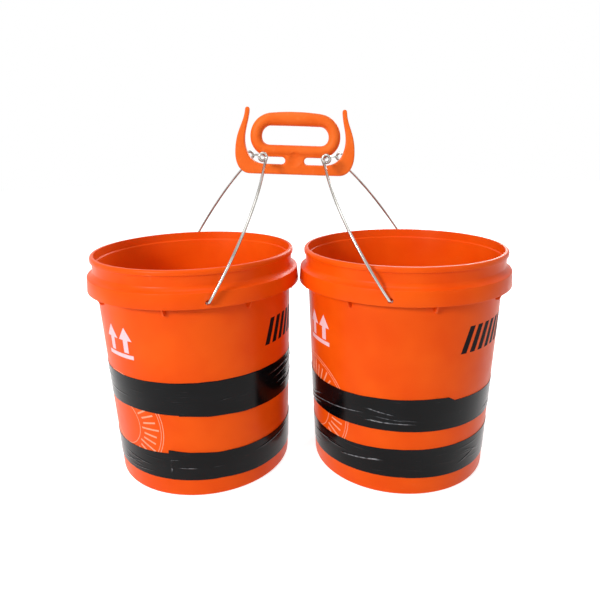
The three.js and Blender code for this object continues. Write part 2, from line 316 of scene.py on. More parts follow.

# %% [markdown]
# ## Tape film
# The bands are soft plasticised PVC tape, near black and glossy. Pulled tight round the wall, it
# shows fine stretch lines along its length, and dust and rubbing leave short pale marks. Along each
# fold's crest a pale streak is painted as a highlight. The folds are in the mesh, because they catch
# the light and change the outline, and the mesh carries their height as an attribute that the
# material reads to place the painted highlight.

# %% Tape film: colour
tape_film, tree, shader, position = new_material(
    "pvc_tape_film", Roughness=0.2, IOR=1.53, Specular_IOR_Level=0.12
)
drawn_out = add_node(tree, "Mapping", {"Vector": position, "Scale": streaks(30, (2, 2, 1))})
film_colour = two_tones(tree, drawn_out, 1.0, "#050506", "#0B0C0E", 0.45, 0.7, detail=3.0)
drawn_out = add_node(tree, "Mapping", {"Vector": position, "Scale": streaks(0.9, (40, 40, 1))})
rubbed = add_node(
    tree, "TexNoise", {"Vector": drawn_out, "Scale": 1.0, "Detail": 4.0, "Roughness": 0.6}
)
rubbed = add_node(tree, "MapRange", {"Value": rubbed, "From Min": 0.62, "From Max": 0.74})
patches = add_node(tree, "TexNoise", {"Vector": position, "Scale": spots(22)})
patches = add_node(tree, "MapRange", {"Value": patches, "From Min": 0.5, "From Max": 0.68})
rubbed = add_node(tree, "Math", {0: rubbed, 1: patches}, operation="MULTIPLY")
film_colour = add_node(
    tree, "Mix", {"Factor": rubbed, MIX_A: film_colour, MIX_B: "#45474B"}, data_type="RGBA"
).outputs[MIXED]
print("material", tape_film.name)

# %% Tape film: painted highlight along the fold crests
# A pale streak painted along each fold's crest stands in for a highlight on it.
fold = add_node(tree, "Attribute", attribute_name="fold").outputs["Fac"]
crest_highlight = add_node(tree, "MapRange", {"Value": fold, "From Min": 0.4, "From Max": 1.0})
broken = add_node(tree, "TexNoise", {"Vector": position, "Scale": spots(5), "Detail": 3.0})
broken = add_node(tree, "MapRange", {
    "Value": broken, "From Min": 0.35, "From Max": 0.6, "To Min": 0.2, "To Max": 0.9,
})
crest_highlight = add_node(tree, "Math", {0: crest_highlight, 1: broken}, operation="MULTIPLY")
film_colour = add_node(
    tree, "Mix", {"Factor": crest_highlight, MIX_A: film_colour, MIX_B: "#8C8F94"}, data_type="RGBA"
).outputs[MIXED]
tree.links.new(film_colour, shader.inputs["Base Color"])
print("its fold attribute:", fold.node.attribute_name)

# %% Tape film: gloss and relief
drawn_out = add_node(tree, "Mapping", {"Vector": position, "Scale": streaks(10, (4, 4, 1))})
uneven_gloss(tree, shader, drawn_out, 1.0, 0.14, 0.22)
drawn_out = add_node(tree, "Mapping", {"Vector": position, "Scale": streaks(16, (3, 3, 1))})
slack = add_node(tree, "TexNoise", {"Vector": drawn_out, "Scale": 1.0})
drawn_out = add_node(tree, "Mapping", {"Vector": position, "Scale": streaks(1.6, (30, 30, 1))})
stretch_lines = add_node(tree, "TexNoise", {"Vector": drawn_out, "Scale": 1.0, "Detail": 3.0})
relief = add_node(tree, "Bump", {"Height": slack, "Distance": 0.6 * MM, "Strength": 0.2})
relief = add_node(tree, "Bump", {
    "Height": stretch_lines, "Distance": 0.08 * MM, "Strength": 0.2, "Normal": relief,
})
tree.links.new(relief.outputs[0], shader.inputs["Normal"])
print("nodes:", len(tree.nodes))

# %% [markdown]
# ## Printing inks
# The marks on the wall are screen-printed in one pass each, so each is a flat, slightly matt ink
# with a little wear. They are plain handling marks: arrows, slanting stripes and a ring of ticks.
# The three inks differ only in colour and in how far they are worn, so one function makes them.

# %% Inks
def ink(name, fresh, faded, wear_amount):
    """A screen ink that shows a paler or darker colour where it is worn."""
    made, tree, shader, position = new_material(
        name, Roughness=0.5, IOR=1.5, Specular_IOR_Level=0.04
    )
    wear = add_node(
        tree, "TexNoise",
        {"Vector": position, "Scale": spots(3), "Detail": 5.0, "Roughness": 0.7},
    )
    wear = add_node(
        tree, "MapRange", {"Value": wear, "From Min": 0.5, "From Max": 0.75, "To Max": wear_amount}
    )
    printed = add_node(
        tree, "Mix", {"Factor": wear, MIX_A: fresh, MIX_B: faded}, data_type="RGBA"
    ).outputs[MIXED]
    tree.links.new(printed, shader.inputs["Base Color"])
    grain = add_node(tree, "TexNoise", {"Vector": position, "Scale": spots(1.1)})
    relief = add_node(tree, "Bump", {"Height": grain, "Distance": 0.03 * MM, "Strength": 0.25})
    tree.links.new(relief.outputs[0], shader.inputs["Normal"])
    print("material", name)
    return made


white_ink = ink("white_screen_ink", "#F4CDD4", "#F4A48C", 0.5)
black_ink = ink("black_screen_ink", "#131114", "#3A1C14", 0.4)
pale_ink = ink("pale_screen_ink", "#F9A988", "#F47A48", 0.8)

# %% [markdown]
# ## Pail shell
# A pail is a turned shape, so its half section is drawn once and spun round the axis. The rim has
# a bead that a lid snaps over, an inset neck, a hollow shoulder and a skirt that stiffens the
# mouth and carries the pivots. A vertex bevel rounds each corner of the section first, because
# the small radii are what catch the light on moulded plastic. Modelling the rim on a ready cylinder
# with insets and extrusions would also work, but the section shows every wall and step at a glance.

# %% Sizes of the pail, in mm
WALL = 2.2
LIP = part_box("left_bucket")[1].z / MM
SKIRT_BOTTOM, SKIRT_TOP = LIP - 50.9, LIP - 29.7
CEILING = SKIRT_TOP - WALL
BASE_RADIUS, TOP_RADIUS, SKIRT_RADIUS = 137.4, 147.0, 160.7
BEAD_RADIUS, NECK_RADIUS = 152.8, 150.3
FLOOR_TOP, STACKING_STEP = 5.5, 1.6


def wall_radius(z):
    """Outer radius of the tapered wall at a height, in mm."""
    return BASE_RADIUS + (TOP_RADIUS - BASE_RADIUS) * z / SKIRT_BOTTOM


print("lip", round(LIP, 1), "mm high, skirt", round(SKIRT_BOTTOM, 1), "to", round(SKIRT_TOP, 1))

# %% Half section of the pail
# Each corner is (radius, height, rounding), from the middle of the underside to the floor inside.
SECTION = [
    # The underside is raised inside the foot ring.
    (0, 3, 0), (117, 3, 1), (120, 0, 0.8), (BASE_RADIUS, 0, 4),
    # Up the wall, and out and down inside the hollow skirt.
    (wall_radius(CEILING), CEILING, 1), (156.7, CEILING, 0.8), (158.4, SKIRT_BOTTOM, 0.3),
    # Up the skirt and over its shoulder.
    (SKIRT_RADIUS, SKIRT_BOTTOM, 0.6), (158.9, SKIRT_TOP, 0.5), (153.2, LIP - 27.0, 2.5),
    # Up the neck to the bead.
    (NECK_RADIUS, LIP - 22.5, 1.2), (NECK_RADIUS, LIP - 7.9, 0.5), (BEAD_RADIUS, LIP - 7.5, 0.5),
    (BEAD_RADIUS, LIP - 2.4, 1.4), (150.9, LIP, 1.2), (TOP_RADIUS, LIP, 0.5),
    # Down inside, past the step that another pail stacks on, to the floor.
    (TOP_RADIUS, LIP - 13, 0.5), (TOP_RADIUS - STACKING_STEP, LIP - 14.2, 0.6),
    (wall_radius(FLOOR_TOP) - WALL, FLOOR_TOP, 8), (0, FLOOR_TOP, 0),
]
LONG_EDGE = 200


def pail_section():
    """The half section as a chain of edges, with its corners rounded."""
    bm = bmesh.new()
    verts = [bm.verts.new((r, 0, z)) for r, z, _ in SECTION]
    for pair in zip(verts, verts[1:]):
        bm.edges.new(pair)
    for v, (_, _, rounding) in zip(verts, SECTION):
        if rounding:
            bmesh.ops.bevel(
                bm, geom=[v], offset=rounding, offset_type="OFFSET", affect="VERTICES",
                segments=6 if rounding > 2 else 3, profile=0.5, material=-1,
            )
    # The tall wall gets more rings, so that its faces stay near square.
    long_edges = [e for e in bm.edges if e.calc_length() > LONG_EDGE]
    bmesh.ops.subdivide_edges(bm, edges=long_edges, cuts=9)
    return bm


section = pail_section()
print("section:", len(section.verts), "points")
section.free()

# %% [markdown]
# ## Gussets and pivot holes
# Eight thin gussets tie the skirt to the wall, and their feet show as small stubs under the
# skirt. One is drawn as a flat face, given its thickness by extruding it, and copied round the
# axis. The two pivot holes go through the skirt only. The gussets could just be pushed into
# the wall, but faces would then stay hidden inside it. Booleans join and cut them, so that
# the shell stays one closed skin, as one moulding is.

# %% Gussets
GUSSETS, GUSSET_THICKNESS, GUSSET_DROP, GUSSET_FOOT = 8, 2.4, 11.0, 5.0
SUNK = 1.0


def gussets():
    """All the gussets, each sunk a little into the wall and the skirt so that they join."""
    foot = SKIRT_BOTTOM - GUSSET_DROP
    bm = bmesh.new()
    corners = [
        (wall_radius(foot) - SUNK, foot), (wall_radius(foot) + GUSSET_FOOT, foot),
        (157.4, SKIRT_BOTTOM + 1.1), (159.0, SKIRT_BOTTOM + 1.1),
        (157.6, CEILING + SUNK), (wall_radius(CEILING) - SUNK, CEILING + SUNK),
    ]
    half = GUSSET_THICKNESS / 2
    face = bm.faces.new([bm.verts.new((r, -half, z)) for r, z in corners])
    grown = bmesh.ops.extrude_face_region(bm, geom=[face])["geom"]
    moved = [v for v in grown if isinstance(v, bmesh.types.BMVert)]
    bmesh.ops.translate(bm, vec=(0, GUSSET_THICKNESS, 0), verts=moved)
    # The first stands half a step from the front pivot, so none meets a pivot hole.
    first = math.radians(90 + 180 / GUSSETS)
    bmesh.ops.rotate(bm, cent=(0, 0, 0), matrix=Matrix.Rotation(first, 3, "Z"), verts=bm.verts)
    bmesh.ops.spin(
        bm, geom=bm.verts[:] + bm.edges[:] + bm.faces[:], cent=(0, 0, 0), axis=(0, 0, 1),
        angle=2 * math.pi * (GUSSETS - 1) / GUSSETS, steps=GUSSETS - 1, use_duplicate=True,
    )
    bmesh.ops.recalc_face_normals(bm, faces=bm.faces)
    return bm


# %% Drills for the pivot holes, and joining
HOLE_RADIUS, DRILL_LENGTH = 3.75, 10
SLIVER = 0.02


def pivot_drills(z):
    """A short cylinder through the skirt at each pivot."""
    bm = bmesh.new()
    lying = Matrix.Rotation(math.pi / 2, 4, "X")
    for end in (-1, 1):
        bmesh.ops.create_cone(
            bm, cap_ends=True, segments=32, radius1=HOLE_RADIUS, radius2=HOLE_RADIUS,
            depth=DRILL_LENGTH, matrix=Matrix.Translation((0, end * SKIRT_RADIUS, z)) @ lying,
        )
    return bm


def combine(obj, tool, operation):
    """Joins or cuts an object with a tool, and removes the tool."""
    cut = obj.modifiers.new(operation.lower(), "BOOLEAN")
    cut.operation, cut.solver, cut.object = operation, "EXACT", tool
    apply_modifiers(obj, SHARP_ANGLE)
    bpy.data.objects.remove(tool)
    # A boolean can leave slivers where two skins nearly touch.
    bm = bmesh.new()
    bm.from_mesh(obj.data)
    bmesh.ops.remove_doubles(bm, verts=bm.verts, dist=SLIVER * MM)
    bmesh.ops.dissolve_degenerate(bm, edges=bm.edges, dist=SLIVER * MM)
    bm.to_mesh(obj.data)
    bm.free()


# %% Pail shells
SPIN_STEPS = 168


def pail_shell(side):
    bm = pail_section()
    bmesh.ops.spin(
        bm, geom=bm.verts[:] + bm.edges[:], cent=(0, 0, 0), axis=(0, 0, 1),
        angle=2 * math.pi, steps=SPIN_STEPS, use_merge=True,
    )
    bmesh.ops.remove_doubles(bm, verts=bm.verts, dist=1e-4)
    bmesh.ops.recalc_face_normals(bm, faces=bm.faces)
    place = stand[side]
    shell = object_from(bm, f"{side}_pail_shell", place)
    combine(shell, object_from(gussets(), "gussets", place), "UNION")
    drills = pivot_drills(pivot_height[side] / MM)
    combine(shell, object_from(drills, "drills", place), "DIFFERENCE")
    return finish_piece(shell, pail_plastic, f"{side}_pail", [f"{side}_bucket"])


for side in SIDES:
    pail_shell(side)

# %% [markdown]
# ## Printed marks
# A printed mark is a flat drawing bent round the tapered wall. It could be mixed into the wall's
# material, but that takes many nodes and blurs its edges. As a mesh it stays crisp: it is drawn in
# millimetres of arc and height, fine enough to follow the curve, wrapped onto the wall, and made
# a film 0.07 mm thick. The ring passes under the tape, as the print on a used pail does.

# %% Wrapping round the wall
WRAP_RADIUS = 143.0
INK_LIFT, INK_FILM = 0.12, 0.07
PRINT_TURN = {"left": -5.5, "right": 0.0}


def wrap(bm, lift, turn=0.0):
    """Bends a drawing in the XY plane round the wall: X is arc length, Y is height."""
    for v in bm.verts:
        angle = v.co.x / WRAP_RADIUS + math.radians(turn)
        radius = wall_radius(v.co.y) + lift + v.co.z
        v.co = (radius * math.sin(angle), -radius * math.cos(angle), v.co.y)


def thicken(obj, thickness_mm):
    """Gives a sheet its thickness, inwards from its outer face."""
    sheet = obj.modifiers.new("thickness", "SOLIDIFY")
    sheet.thickness, sheet.offset = thickness_mm * MM, -1
    return apply_modifiers(obj, sharp_angle=40)


# %% Bars, rings and prints
LONGEST_CHORD = 2.5


def add_bar(bm, x, y, width, height, slant=0.0, turn=0.0):
    """A bar centred on x, y; slant shifts its top sideways, turn rotates it."""
    cuts = max(4, round(width / LONGEST_CHORD))
    made = bmesh.ops.create_grid(bm, x_segments=cuts, y_segments=6, size=0.5)["verts"]
    for v in made:
        v.co.x = v.co.x * width + v.co.y * slant
        v.co.y *= height
    bmesh.ops.rotate(bm, cent=(0, 0, 0), matrix=Matrix.Rotation(turn, 3, "Z"), verts=made)
    bmesh.ops.translate(bm, vec=(x, y, 0), verts=made)


def add_ring(bm, x, y, radius, width):
    """A flat ring: two circles, bridged."""
    for r in (radius, radius - width):
        bmesh.ops.create_circle(
            bm, cap_ends=False, segments=120, radius=r, matrix=Matrix.Translation((x, y, 0))
        )
    bmesh.ops.bridge_loops(bm, edges=[e for e in bm.edges if e.is_wire])


def print_mark(bm, side, name, material):
    """Turns a drawing's faces outwards, wraps it on the wall, and makes it a film of ink."""
    for face in bm.faces:
        if face.normal.z < 0:
            face.normal_flip()
    wrap(bm, INK_LIFT, PRINT_TURN[side])
    mark = thicken(object_from(bm, f"{side}_{name}", stand[side]), INK_FILM)
    return finish_piece(mark, material, f"{side}_pail")


# %% Arrows over a bar
ARROWS_FROM_FRONT = (-141.0, -111.0)
ARROW_HEAD = ((-13, 242), (13, 242), (0, 261))


def arrows():
    bm = bmesh.new()
    for x in ARROWS_FROM_FRONT:
        add_bar(bm, x, 234.5, 9.5, 23)
        head = bm.faces.new([bm.verts.new((x + dx, y, 0)) for dx, y in ARROW_HEAD])
        bmesh.ops.subdivide_edges(bm, edges=head.edges, cuts=3, use_grid_fill=True)
    add_bar(bm, sum(ARROWS_FROM_FRONT) / 2, 217.5, 56, 6)
    return bm


# %% Slanting stripes
STRIPES, FIRST_STRIPE, STRIPE_STEP = 7, 111, 16


def stripes():
    bm = bmesh.new()
    for count in range(STRIPES):
        add_bar(bm, FIRST_STRIPE + STRIPE_STEP * count, 239.5, 9.5, 39, slant=13)
    return bm


# %% Ring of ticks
RING_PLACE = (-142.0, 108.0)
RINGS = ((80, 1.1), (76, 0.9), (38, 1.0))
TICKS, TICK_MIDDLE = 36, 57


def tick_ring():
    bm = bmesh.new()
    x, y = RING_PLACE
    for radius, width in RINGS:
        add_ring(bm, x, y, radius, width)
    for count in range(TICKS):
        turn = 2 * math.pi * count / TICKS
        # Every third tick is longer.
        length = 22 if count % 3 else 30
        dx, dy = TICK_MIDDLE * math.cos(turn), TICK_MIDDLE * math.sin(turn)
        add_bar(bm, x + dx, y + dy, length, 2.6, turn=turn)
    return bm


# %% Print the marks
for side in SIDES:
    print_mark(arrows(), side, "arrow_mark", white_ink)
    print_mark(stripes(), side, "stripe_mark", black_ink)
    print_mark(tick_ring(), side, "tick_ring", pale_ink)

# %% [markdown]
# ## Tape bands
# A band is 48 mm tape wound round the wall by hand, so its turns drift up and down, its edges
# ripple, and the last turn ends in a torn edge that stands on the turn below. Cloth simulation
# could wind it, but tight tape doesn't drape, and its folds lie where a hand pressed them. So each
# layer starts as a flat grid, which is wrapped round the wall, with its creases raised on the way,
# and then given its thickness. The full ring and the last turn's end are separate layers.

# %% Edges of a band
def arc_of(angle):
    """Arc length in mm at an angle in degrees from the front pivot."""
    return math.radians(angle) * WRAP_RADIUS


def follow(points, angle):
    """Height at an angle, eased between (angle in degrees, height) points."""
    for (a, low), (b, high) in zip(points, points[1:]):
        if a <= angle <= b:
            t = (angle - a) / (b - a)
            return low + (high - low) * t * t * (3 - 2 * t)
    return points[0][1] if angle < points[0][0] else points[-1][1]


# %% Creases
def crease_height(creases, arc, z):
    """Height of the creases at a point; each is (arc, z, arc, z, width, height) in mm."""
    total = 0.0
    for x0, z0, x1, z1, width, height in creases:
        # Most creases are too far away to matter, and are passed over quickly.
        far = 3 * width
        if not (min(x0, x1) - far < arc < max(x0, x1) + far):
            continue
        if not (min(z0, z1) - far < z < max(z0, z1) + far):
            continue
        start, along = Vector((x0, z0)), Vector((x1 - x0, z1 - z0))
        here = Vector((arc, z)) - start
        t = min(max(here.dot(along) / along.length_squared, 0), 1)
        off = (here - along * t).length
        fade = math.sin(math.pi * (0.06 + 0.88 * t)) ** 0.7
        total += height * fade * math.exp(-((off / width) ** 2))
    return total


def random_creases(low, high, count):
    """Small slanting creases spread round a band."""
    made = []
    for _ in range(count):
        pick = [noise.random() for _ in range(5)]
        arc = arc_of(-180 + 360 * pick[0])
        z = low + 5 + (high - low - 10) * pick[1]
        length, rise = 18 + 45 * pick[2], (pick[3] - 0.5) * 12
        made.append((arc, z, arc + length, z + rise, 0.6 + 0.5 * pick[4], 0.12 + 0.3 * pick[2]))
    return made


def placed_creases(rows):
    """Creases listed one by one; each is (angle, z, angle, z, width, height)."""
    return [(arc_of(a), z0, arc_of(b), z1, wide, high) for a, z0, b, z1, wide, high in rows]


# %% One layer of film
FILM = 0.22
ACROSS, STEPS_PER_DEGREE = 100, 1.1
RIPPLE = 0.35


def tape_layer(name, side, tape, start, end, top, bottom, lift, creases, seed, torn=()):
    """One layer of film from a start to an end angle; torn names the ends that are ragged."""
    steps = round(abs(end - start) * STEPS_PER_DEGREE)
    bm = bmesh.new()
    fold = bm.verts.layers.float.new("fold")
    bmesh.ops.create_grid(bm, x_segments=steps, y_segments=ACROSS, size=0.5)
    for v in bm.verts:
        along, across = v.co.x + 0.5, v.co.y + 0.5
        # A torn end is ragged by up to about a degree, and that fades away from the end.
        ragged = noise.noise(Vector((across * 7, seed, 0))) * 1.1
        ragged += noise.noise(Vector((across * 23, seed, 5))) * 0.5
        near_torn_end = (1 - along) ** 12 * ("start" in torn) + along**12 * ("end" in torn)
        angle = start + (end - start) * along + ragged * near_torn_end
        # The edges ripple; the noise is read on a circle, so that the ring closes.
        turn = math.radians(angle)
        ripple = noise.noise(Vector((math.sin(turn) * 9, math.cos(turn) * 9, seed)))
        low, high = follow(bottom, angle), follow(top, angle)
        z = low + (high - low) * across + RIPPLE * ripple * (2 * across - 1)
        v[fold] = crease_height(creases, arc_of(angle), z)
        v.co = (arc_of(angle), z, v[fold])
    wrap(bm, lift)
    bmesh.ops.remove_doubles(bm, verts=bm.verts, dist=1e-3)
    film = thicken(object_from(bm, name, stand[side]), FILM)
    return finish_piece(film, tape_film, f"{side}_pail", tape)


noise.seed_set(7)
LIFT, STEP = 0.6, 0.34
OUTER = LIFT + STEP
print("film", FILM, "mm, layers", LIFT, "and", OUTER, "mm off the wall")

# %% Left pail's bands
tape_layer(
    "left_upper_wrap", "left", ["left_upper_tape"], -180, 180,
    top=[(-180, 185), (0, 186.3), (180, 185)],
    bottom=[(-180, 136), (-75, 135.5), (-50, 137.4), (0, 134.5), (90, 136), (180, 136)],
    lift=LIFT, creases=random_creases(134, 186, 30), seed=1,
)
tape_layer(
    "left_upper_last_turn", "left", [], -20, 178,
    top=[(-20, 185.2), (15, 185.2), (90, 180), (180, 180)],
    bottom=[(-20, 134.8), (5, 131.6), (22, 129.2), (60, 127.5), (130, 128.5), (180, 132)],
    lift=OUTER, torn=("start", "end"), seed=2,
    creases=placed_creases([
        (36, 172, 66, 180, 0.85, 0.95), (40, 162, 72, 173, 0.77, 0.85),
        (44, 152, 60, 154, 0.85, 0.76), (50, 142, 80, 150, 0.77, 0.85),
        (2, 155, 12, 158, 0.68, 0.57), (52, 178, 84, 170, 0.68, 0.76),
    ]),
)
tape_layer(
    "left_lower_wrap", "left", ["left_lower_tape"], -180, 180,
    top=[(-180, 72), (-75, 70), (-50, 71.5), (-26, 73), (20, 70.5), (180, 72)],
    bottom=[(-180, 29), (0, 28.8), (90, 26.5), (180, 29)],
    lift=LIFT, seed=3,
    creases=random_creases(29, 72, 26)
    + placed_creases([
        (-70, 38, -48, 49, 0.68, 0.76), (-68, 46, -50, 41, 0.68, 0.66),
        (-64, 54, -42, 48, 0.77, 0.66), (-60, 35, -40, 38, 0.68, 0.57),
    ]),
)
tape_layer(
    "left_lower_last_turn", "left", [], -28.5, 150,
    top=[(-28.5, 78.4), (-13, 75.4), (3, 72.4), (20, 71.3), (90, 70), (150, 71)],
    bottom=[(-28.5, 29), (0, 28.2), (31, 24.6), (90, 24), (150, 28)],
    lift=OUTER, torn=("start", "end"), seed=4,
    creases=placed_creases([
        (-27, 64, -27.6, 36, 0.85, 0.95), (-23.5, 50, -11, 48.8, 0.85, 0.95),
        (-27.8, 62, -22, 63.5, 0.77, 0.85), (25, 57, 60, 64, 0.77, 0.66),
    ]),
)

# %% Right pail's bands
tape_layer(
    "right_upper_wrap", "right", ["right_upper_tape"], -180, 180,
    top=[(-180, 152), (-70, 151.5), (-30, 153), (20, 151.5), (90, 150), (180, 152)],
    bottom=[(-180, 106), (-76, 101), (-46, 104.5), (0, 106.6), (90, 106), (180, 106)],
    lift=LIFT, creases=random_creases(106, 152, 34), seed=5,
)
tape_layer(
    "right_upper_last_turn", "right", [], -170, 38,
    top=[(-170, 153), (-80, 153), (-30, 154.4), (0, 156.6), (28, 157.8), (34, 157.2), (38, 152.5)],
    bottom=[(-170, 108), (-70, 102), (-46, 105.4), (14, 107.2), (38, 108)],
    lift=OUTER, torn=("end",), seed=6,
    creases=placed_creases([
        (-70, 113, -40, 124, 0.85, 1.13), (-42, 123, -14, 130, 0.85, 1.13),
        (-14, 138.5, 4, 131.5, 0.85, 1.23), (-14, 119.5, 16, 119, 0.94, 1.32),
        (-10, 128, 10, 123, 0.77, 0.85), (-72, 106, -48, 115, 0.77, 0.85),
        (4, 126, 20, 123, 1.36, 0.57), (-66, 120, -44, 133, 0.68, 0.66),
    ]),
)
tape_layer(
    "right_lower_wrap", "right", ["right_lower_tape"], -180, 180,
    top=[(-180, 76), (-80, 71), (-30, 73.8), (14, 77.3), (54, 78), (180, 76)],
    bottom=[(-180, 29), (-70, 27), (0, 30.2), (57, 28.3), (180, 29)],
    lift=LIFT, seed=7,
    creases=random_creases(29, 76, 26)
    + placed_creases([
        (-30, 49.4, -2, 57.4, 1.02, 1.32), (46, 42, 60, 54, 0.77, 0.76),
        (50, 62, 66, 50, 0.77, 0.66), (-64, 54, -40, 60, 0.68, 0.57),
    ]),
)

# %% [markdown]
# ## Wire bails
# A bail is one wire: an end hooked through the pivot hole, a leg that curves up and in, a one-turn
# eye that once kept a grip roll in place, the short straight grip, and the same again behind. A
# circle could be extruded along the way, but it would twist and pinch at the bends. A Bezier curve
# with automatic handles bends as a wire does, and its round bevel gives the section.

# %% Sizes of a bail, in mm
WIRE = 2.0
EYE_RADIUS, EYE_PITCH, GRIP = 5.3, 4.6, 101.0
GRIP_HEIGHT = grip_height["left"] / MM
EYE_HEIGHT = GRIP_HEIGHT - EYE_RADIUS / 2
ARCH, LEG_TOP = EYE_HEIGHT + 14.4, EYE_HEIGHT - 14.0
LEG_FOOT, HOLLOW, HOOK_TAIL, BEND = 164.7, 152.95, 6, 4.0
RISE_POWER, SPREAD_POWER = 2.41, 1.36


def leg_half_width(v):
    """Half the distance between the legs at a height up the bail; a squarish arch."""
    return LEG_FOOT * (1 - (v / ARCH) ** RISE_POWER) ** (1 / SPREAD_POWER)


print("grip", round(GRIP_HEIGHT, 1), "mm above the pivots")

# %% Line of the wire
LEG_STEPS, EYE_STEPS = 10, 16


def bail_points():
    """Front half of the wire: out along the pivot axis, away from the other pail, up the bail."""
    near = BEND * 0.3
    points = [
        (HOLLOW, 0, -HOOK_TAIL), (HOLLOW, 0, -BEND), (HOLLOW + near, 0, -near),
        (HOLLOW + BEND, 0, 0), (LEG_FOOT - BEND, 0, 0), (LEG_FOOT - near, 0, near),
    ]
    for i in range(LEG_STEPS + 1):
        v = BEND + (LEG_TOP - BEND) * math.sin(math.pi / 2 * i / LEG_STEPS)
        points.append((leg_half_width(v), 0, v))
    for i in range(EYE_STEPS + 1):
        turn = 2 * math.pi * i / EYE_STEPS
        points.append((
            GRIP / 2 - EYE_PITCH * i / EYE_STEPS,
            EYE_RADIUS * (1 - math.cos(turn)),
            EYE_HEIGHT + EYE_RADIUS * math.sin(turn),
        ))
    points.append((GRIP / 2 - EYE_PITCH - EYE_RADIUS / 2, 0, GRIP_HEIGHT))
    return points


# %% Bails
def bail(side, sign):
    """Draws one bail as a curve in its place, and turns it into a mesh."""
    front = bail_points()
    back = [(-u, w, v) for u, w, v in reversed(front)]
    curve = bpy.data.curves.new(f"{side}_wire", "CURVE")
    curve.dimensions = "3D"
    curve.resolution_u = 5
    curve.bevel_depth, curve.bevel_resolution = WIRE * MM, 3
    curve.use_fill_caps = True
    spline = curve.splines.new("BEZIER")
    spline.bezier_points.add(len(front) + len(back) - 1)
    for point, (u, w, v) in zip(spline.bezier_points, front + back):
        point.co = bail_frame[side] @ (Vector((sign * w, -u, v)) * MM)
        point.handle_left_type = point.handle_right_type = "AUTO"
    drawn = bpy.data.objects.new(f"{side}_wire", curve)
    bpy.context.scene.collection.objects.link(drawn)
    graph = bpy.context.evaluated_depsgraph_get()
    mesh = bpy.data.meshes.new_from_object(drawn.evaluated_get(graph))
    bpy.data.objects.remove(drawn)
    mesh.shade_smooth()
    mesh.set_sharp_from_angle(angle=math.radians(50))
    made = bpy.data.objects.new(f"{side}_bail_wire", mesh)
    bpy.context.scene.collection.objects.link(made)
    return finish_piece(made, bail_wire, f"{side}_swing", [f"{side}_bail"])


for side, sign in SIDES.items():
    bail(side, sign)

# %% [markdown]
# ## Carrying handle
# The handle is one moulding: a foot plate with two slots, a tapering finger at each end that
# keeps a bail in, and an oval grip loop. All run into each other with soft fillets. A cage for
# subdivision could follow it, but each fillet would need its own rows of faces. So the plate and
# its fingers are one outline given thickness, the loop is a ring swept along its line, and a voxel
# remesh melts both into one skin. A shallow dimple is cut into the web between the slots, in front
# and behind, and a little smoothing gives every edge the softness of a moulding.

# %% Where the handle is
box_low, box_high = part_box("carrier_handle")
middle_y = (box_low.y + box_high.y) / 2
seats = {}
for side in SIDES:
    grip = Vector(joints[f"{side}_bail_swing"]["pos_m"])
    axis = Vector(joints[f"{side}_bail_swing"]["axis"])
    seats[side] = grip + axis * ((middle_y - grip.y) / axis.y)
span = seats["right"] - seats["left"]
WIRE_RISE = 4.5
handle_frame = (
    Matrix.Translation((seats["left"] + seats["right"]) / 2)
    @ Matrix.Rotation(-math.atan2(span.z, span.x), 4, "Y")
    @ Matrix.Translation((0, 0, -WIRE_RISE * MM))
)
print("wires", round(span.length / MM, 1), "mm apart")

# %% Lines and arcs
def bezier(points, steps=12):
    """Points of a Bezier segment in the XZ plane, without its last point."""
    corners = [Vector((x, 0, z)) for x, z in points]
    return geometry.interpolate_bezier(*corners, steps + 1)[:-1]


def arc(x, z, radius, first, last, steps=12):
    """Points of an arc in the XZ plane, angles in degrees."""
    turns = [math.radians(first + (last - first) * i / steps) for i in range(steps + 1)]
    return [Vector((x + radius * math.cos(t), 0, z + radius * math.sin(t))) for t in turns]


# %% Foot plate with its slots and fingers
PLATE, FOOT = 15.4, -20.1
TIP, TIP_RADIUS, TIP_FROM_MIDDLE = 74.5, 3.3, 70.9
TAPER_FROM, TAPER_BY = 8, 0.42
SLOT_MIDDLE, SLOT_RADIUS, SLOT_END = -0.3, 5.5, 19.5
LOOP_FOOT = 13.4


def plate_outline():
    """Right half of the outline, from the foot round the finger and the slot to the grip."""
    start = TIP - TIP_RADIUS
    outer, inner = TIP_FROM_MIDDLE + TIP_RADIUS, TIP_FROM_MIDDLE - TIP_RADIUS
    right = [Vector((0, 0, FOOT)), Vector((30, 0, FOOT))]
    right += bezier([(66, FOOT), (80, FOOT), (88.3, -8), (88.3, 10)])
    right += bezier([(88.3, 10), (88.3, 42), (75.9, 50), (outer, start)], 16)
    right += arc(TIP_FROM_MIDDLE, start, TIP_RADIUS, 0, 180, 8)[:-1]
    right += bezier([(inner, start), (69.4, 48), (80.2, 34), (70.5, 10)], 16)
    right += bezier([(70.5, 10), (66.5, 1), (58, -5.8), (44, SLOT_MIDDLE - SLOT_RADIUS)])
    right += arc(SLOT_END, SLOT_MIDDLE, SLOT_RADIUS, 270, 90)
    right += [Vector((38.5, 0, SLOT_MIDDLE + SLOT_RADIUS))]
    right += [Vector((44, 0, LOOP_FOOT)), Vector((0, 0, LOOP_FOOT))]
    return right


